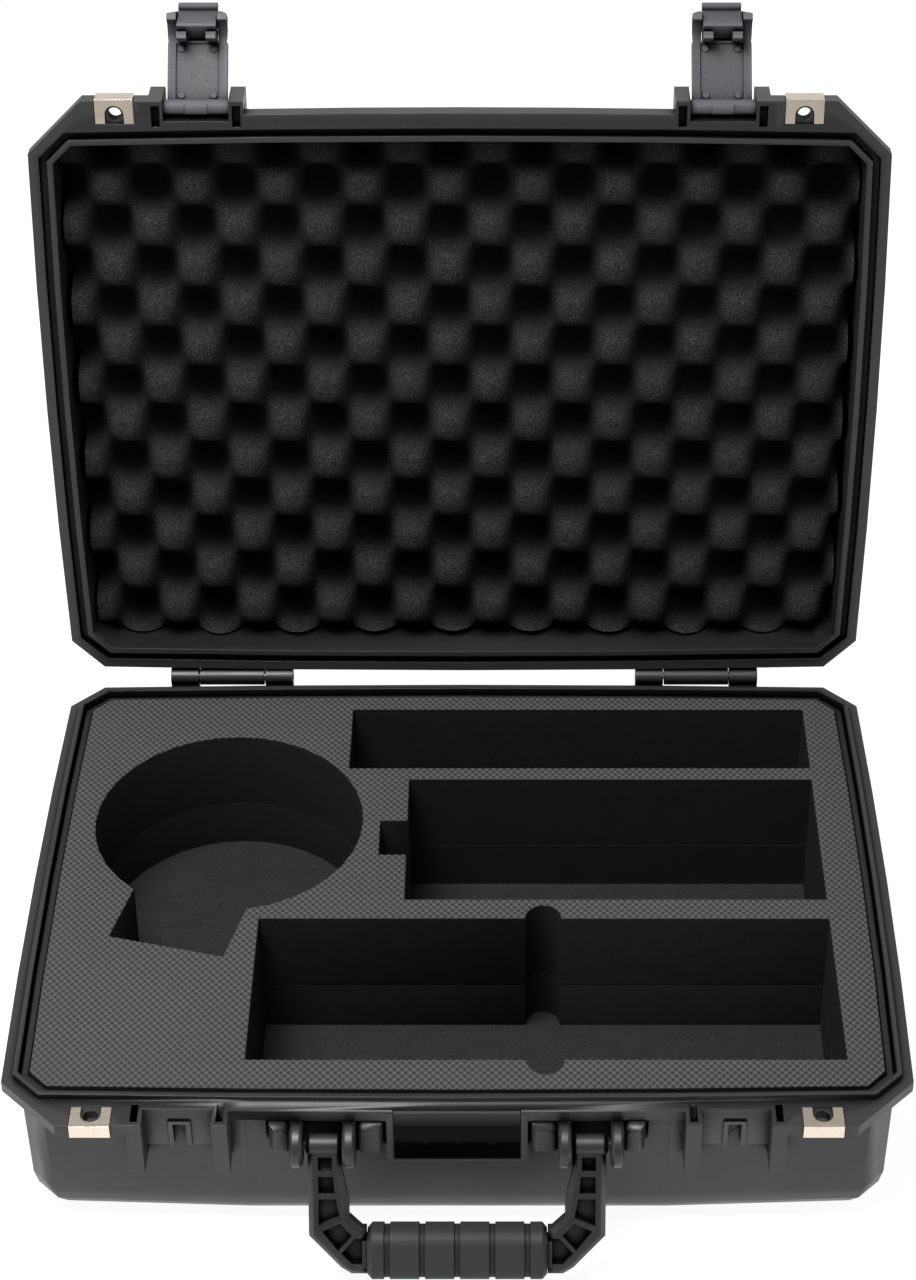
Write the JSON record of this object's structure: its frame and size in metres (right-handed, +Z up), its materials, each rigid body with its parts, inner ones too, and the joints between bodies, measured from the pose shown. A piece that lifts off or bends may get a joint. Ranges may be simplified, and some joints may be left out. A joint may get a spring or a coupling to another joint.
{
  "type": "flight case",
  "caption": "Open waterproof plastic flight case with hinged latches, drop handle, cut foam insert and egg-crate foam in the lid.",
  "frame": {"origin": "middle of the flat bottom face on which the base rests", "axes": "+X to the right along the case's width, as seen from the handle; +Y from the handle side back to the hinges; +Z up"},
  "size_m": [0.5046, 0.5131, 0.5318],
  "materials": {
    "shell_plastic": "fine texture",
    "latch_plastic": "satin",
    "soft_rubber": "satin",
    "name_plate": "gloss",
    "clip_metal": "bright, lightly brushed",
    "pin_steel": "plain",
    "foam_top": "embossed foam",
    "foam_dark": "open-cell foam"
  },
  "bodies": {
    "root": {"base_shell": "shell_plastic", "base_foam_top": "foam_top", "base_foam_lower": "foam_dark", "base_foam_floor": "foam_dark", "name_plate": "name_plate", "padlock_clip_base_left": "clip_metal", "padlock_clip_base_right": "clip_metal", "hinge_pin_left": "pin_steel", "hinge_pin_right": "pin_steel", "handle_pin_left": "pin_steel", "handle_pin_right": "pin_steel"},
    "lid": {"lid_shell": "shell_plastic", "lid_gasket": "soft_rubber", "lid_foam": "foam_dark", "padlock_clip_lid_left": "clip_metal", "padlock_clip_lid_right": "clip_metal", "latch_pin_left": "pin_steel", "latch_pin_right": "pin_steel"},
    "latch_left": {"latch_left": "latch_plastic", "trigger_pin_left": "pin_steel", "trigger_spring_left": "pin_steel"},
    "trigger_left": {"latch_trigger_left": "latch_plastic"},
    "latch_right": {"latch_right": "latch_plastic", "trigger_pin_right": "pin_steel", "trigger_spring_right": "pin_steel"},
    "trigger_right": {"latch_trigger_right": "latch_plastic"},
    "handle": {"handle_frame": "shell_plastic", "handle_grip": "soft_rubber"}
  },
  "joints": [
    {"name": "lid_hinge", "type": "hinge", "parent": "root", "child": "lid", "pos_m": [0, 0.195, 0.10154], "axis": [-1, 0, 0], "range_deg": [-94.48, 0]},
    {"name": "latch_left_hinge", "type": "hinge", "parent": "lid", "child": "latch_left", "pos_m": [-0.1515, 0.23069, 0.48713], "axis": [-1, 0, 0], "range_deg": [-128, 15]},
    {"name": "trigger_left_hinge", "type": "hinge", "parent": "latch_left", "child": "trigger_left", "pos_m": [-0.1515, 0.26667, 0.51858], "axis": [-1, 0, 0], "range_deg": [0, 15], "stiffness_Nm_per_rad": 0.1},
    {"name": "latch_right_hinge", "type": "hinge", "parent": "lid", "child": "latch_right", "pos_m": [0.1515, 0.23069, 0.48713], "axis": [-1, 0, 0], "range_deg": [-128, 15]},
    {"name": "trigger_right_hinge", "type": "hinge", "parent": "latch_right", "child": "trigger_right", "pos_m": [0.1515, 0.26667, 0.51858], "axis": [-1, 0, 0], "range_deg": [0, 15], "stiffness_Nm_per_rad": 0.1},
    {"name": "handle_hinge", "type": "hinge", "parent": "root", "child": "handle", "pos_m": [0, -0.196, 0.081], "axis": [-1, 0, 0], "range_deg": [-22.8, 75]}
  ]
}
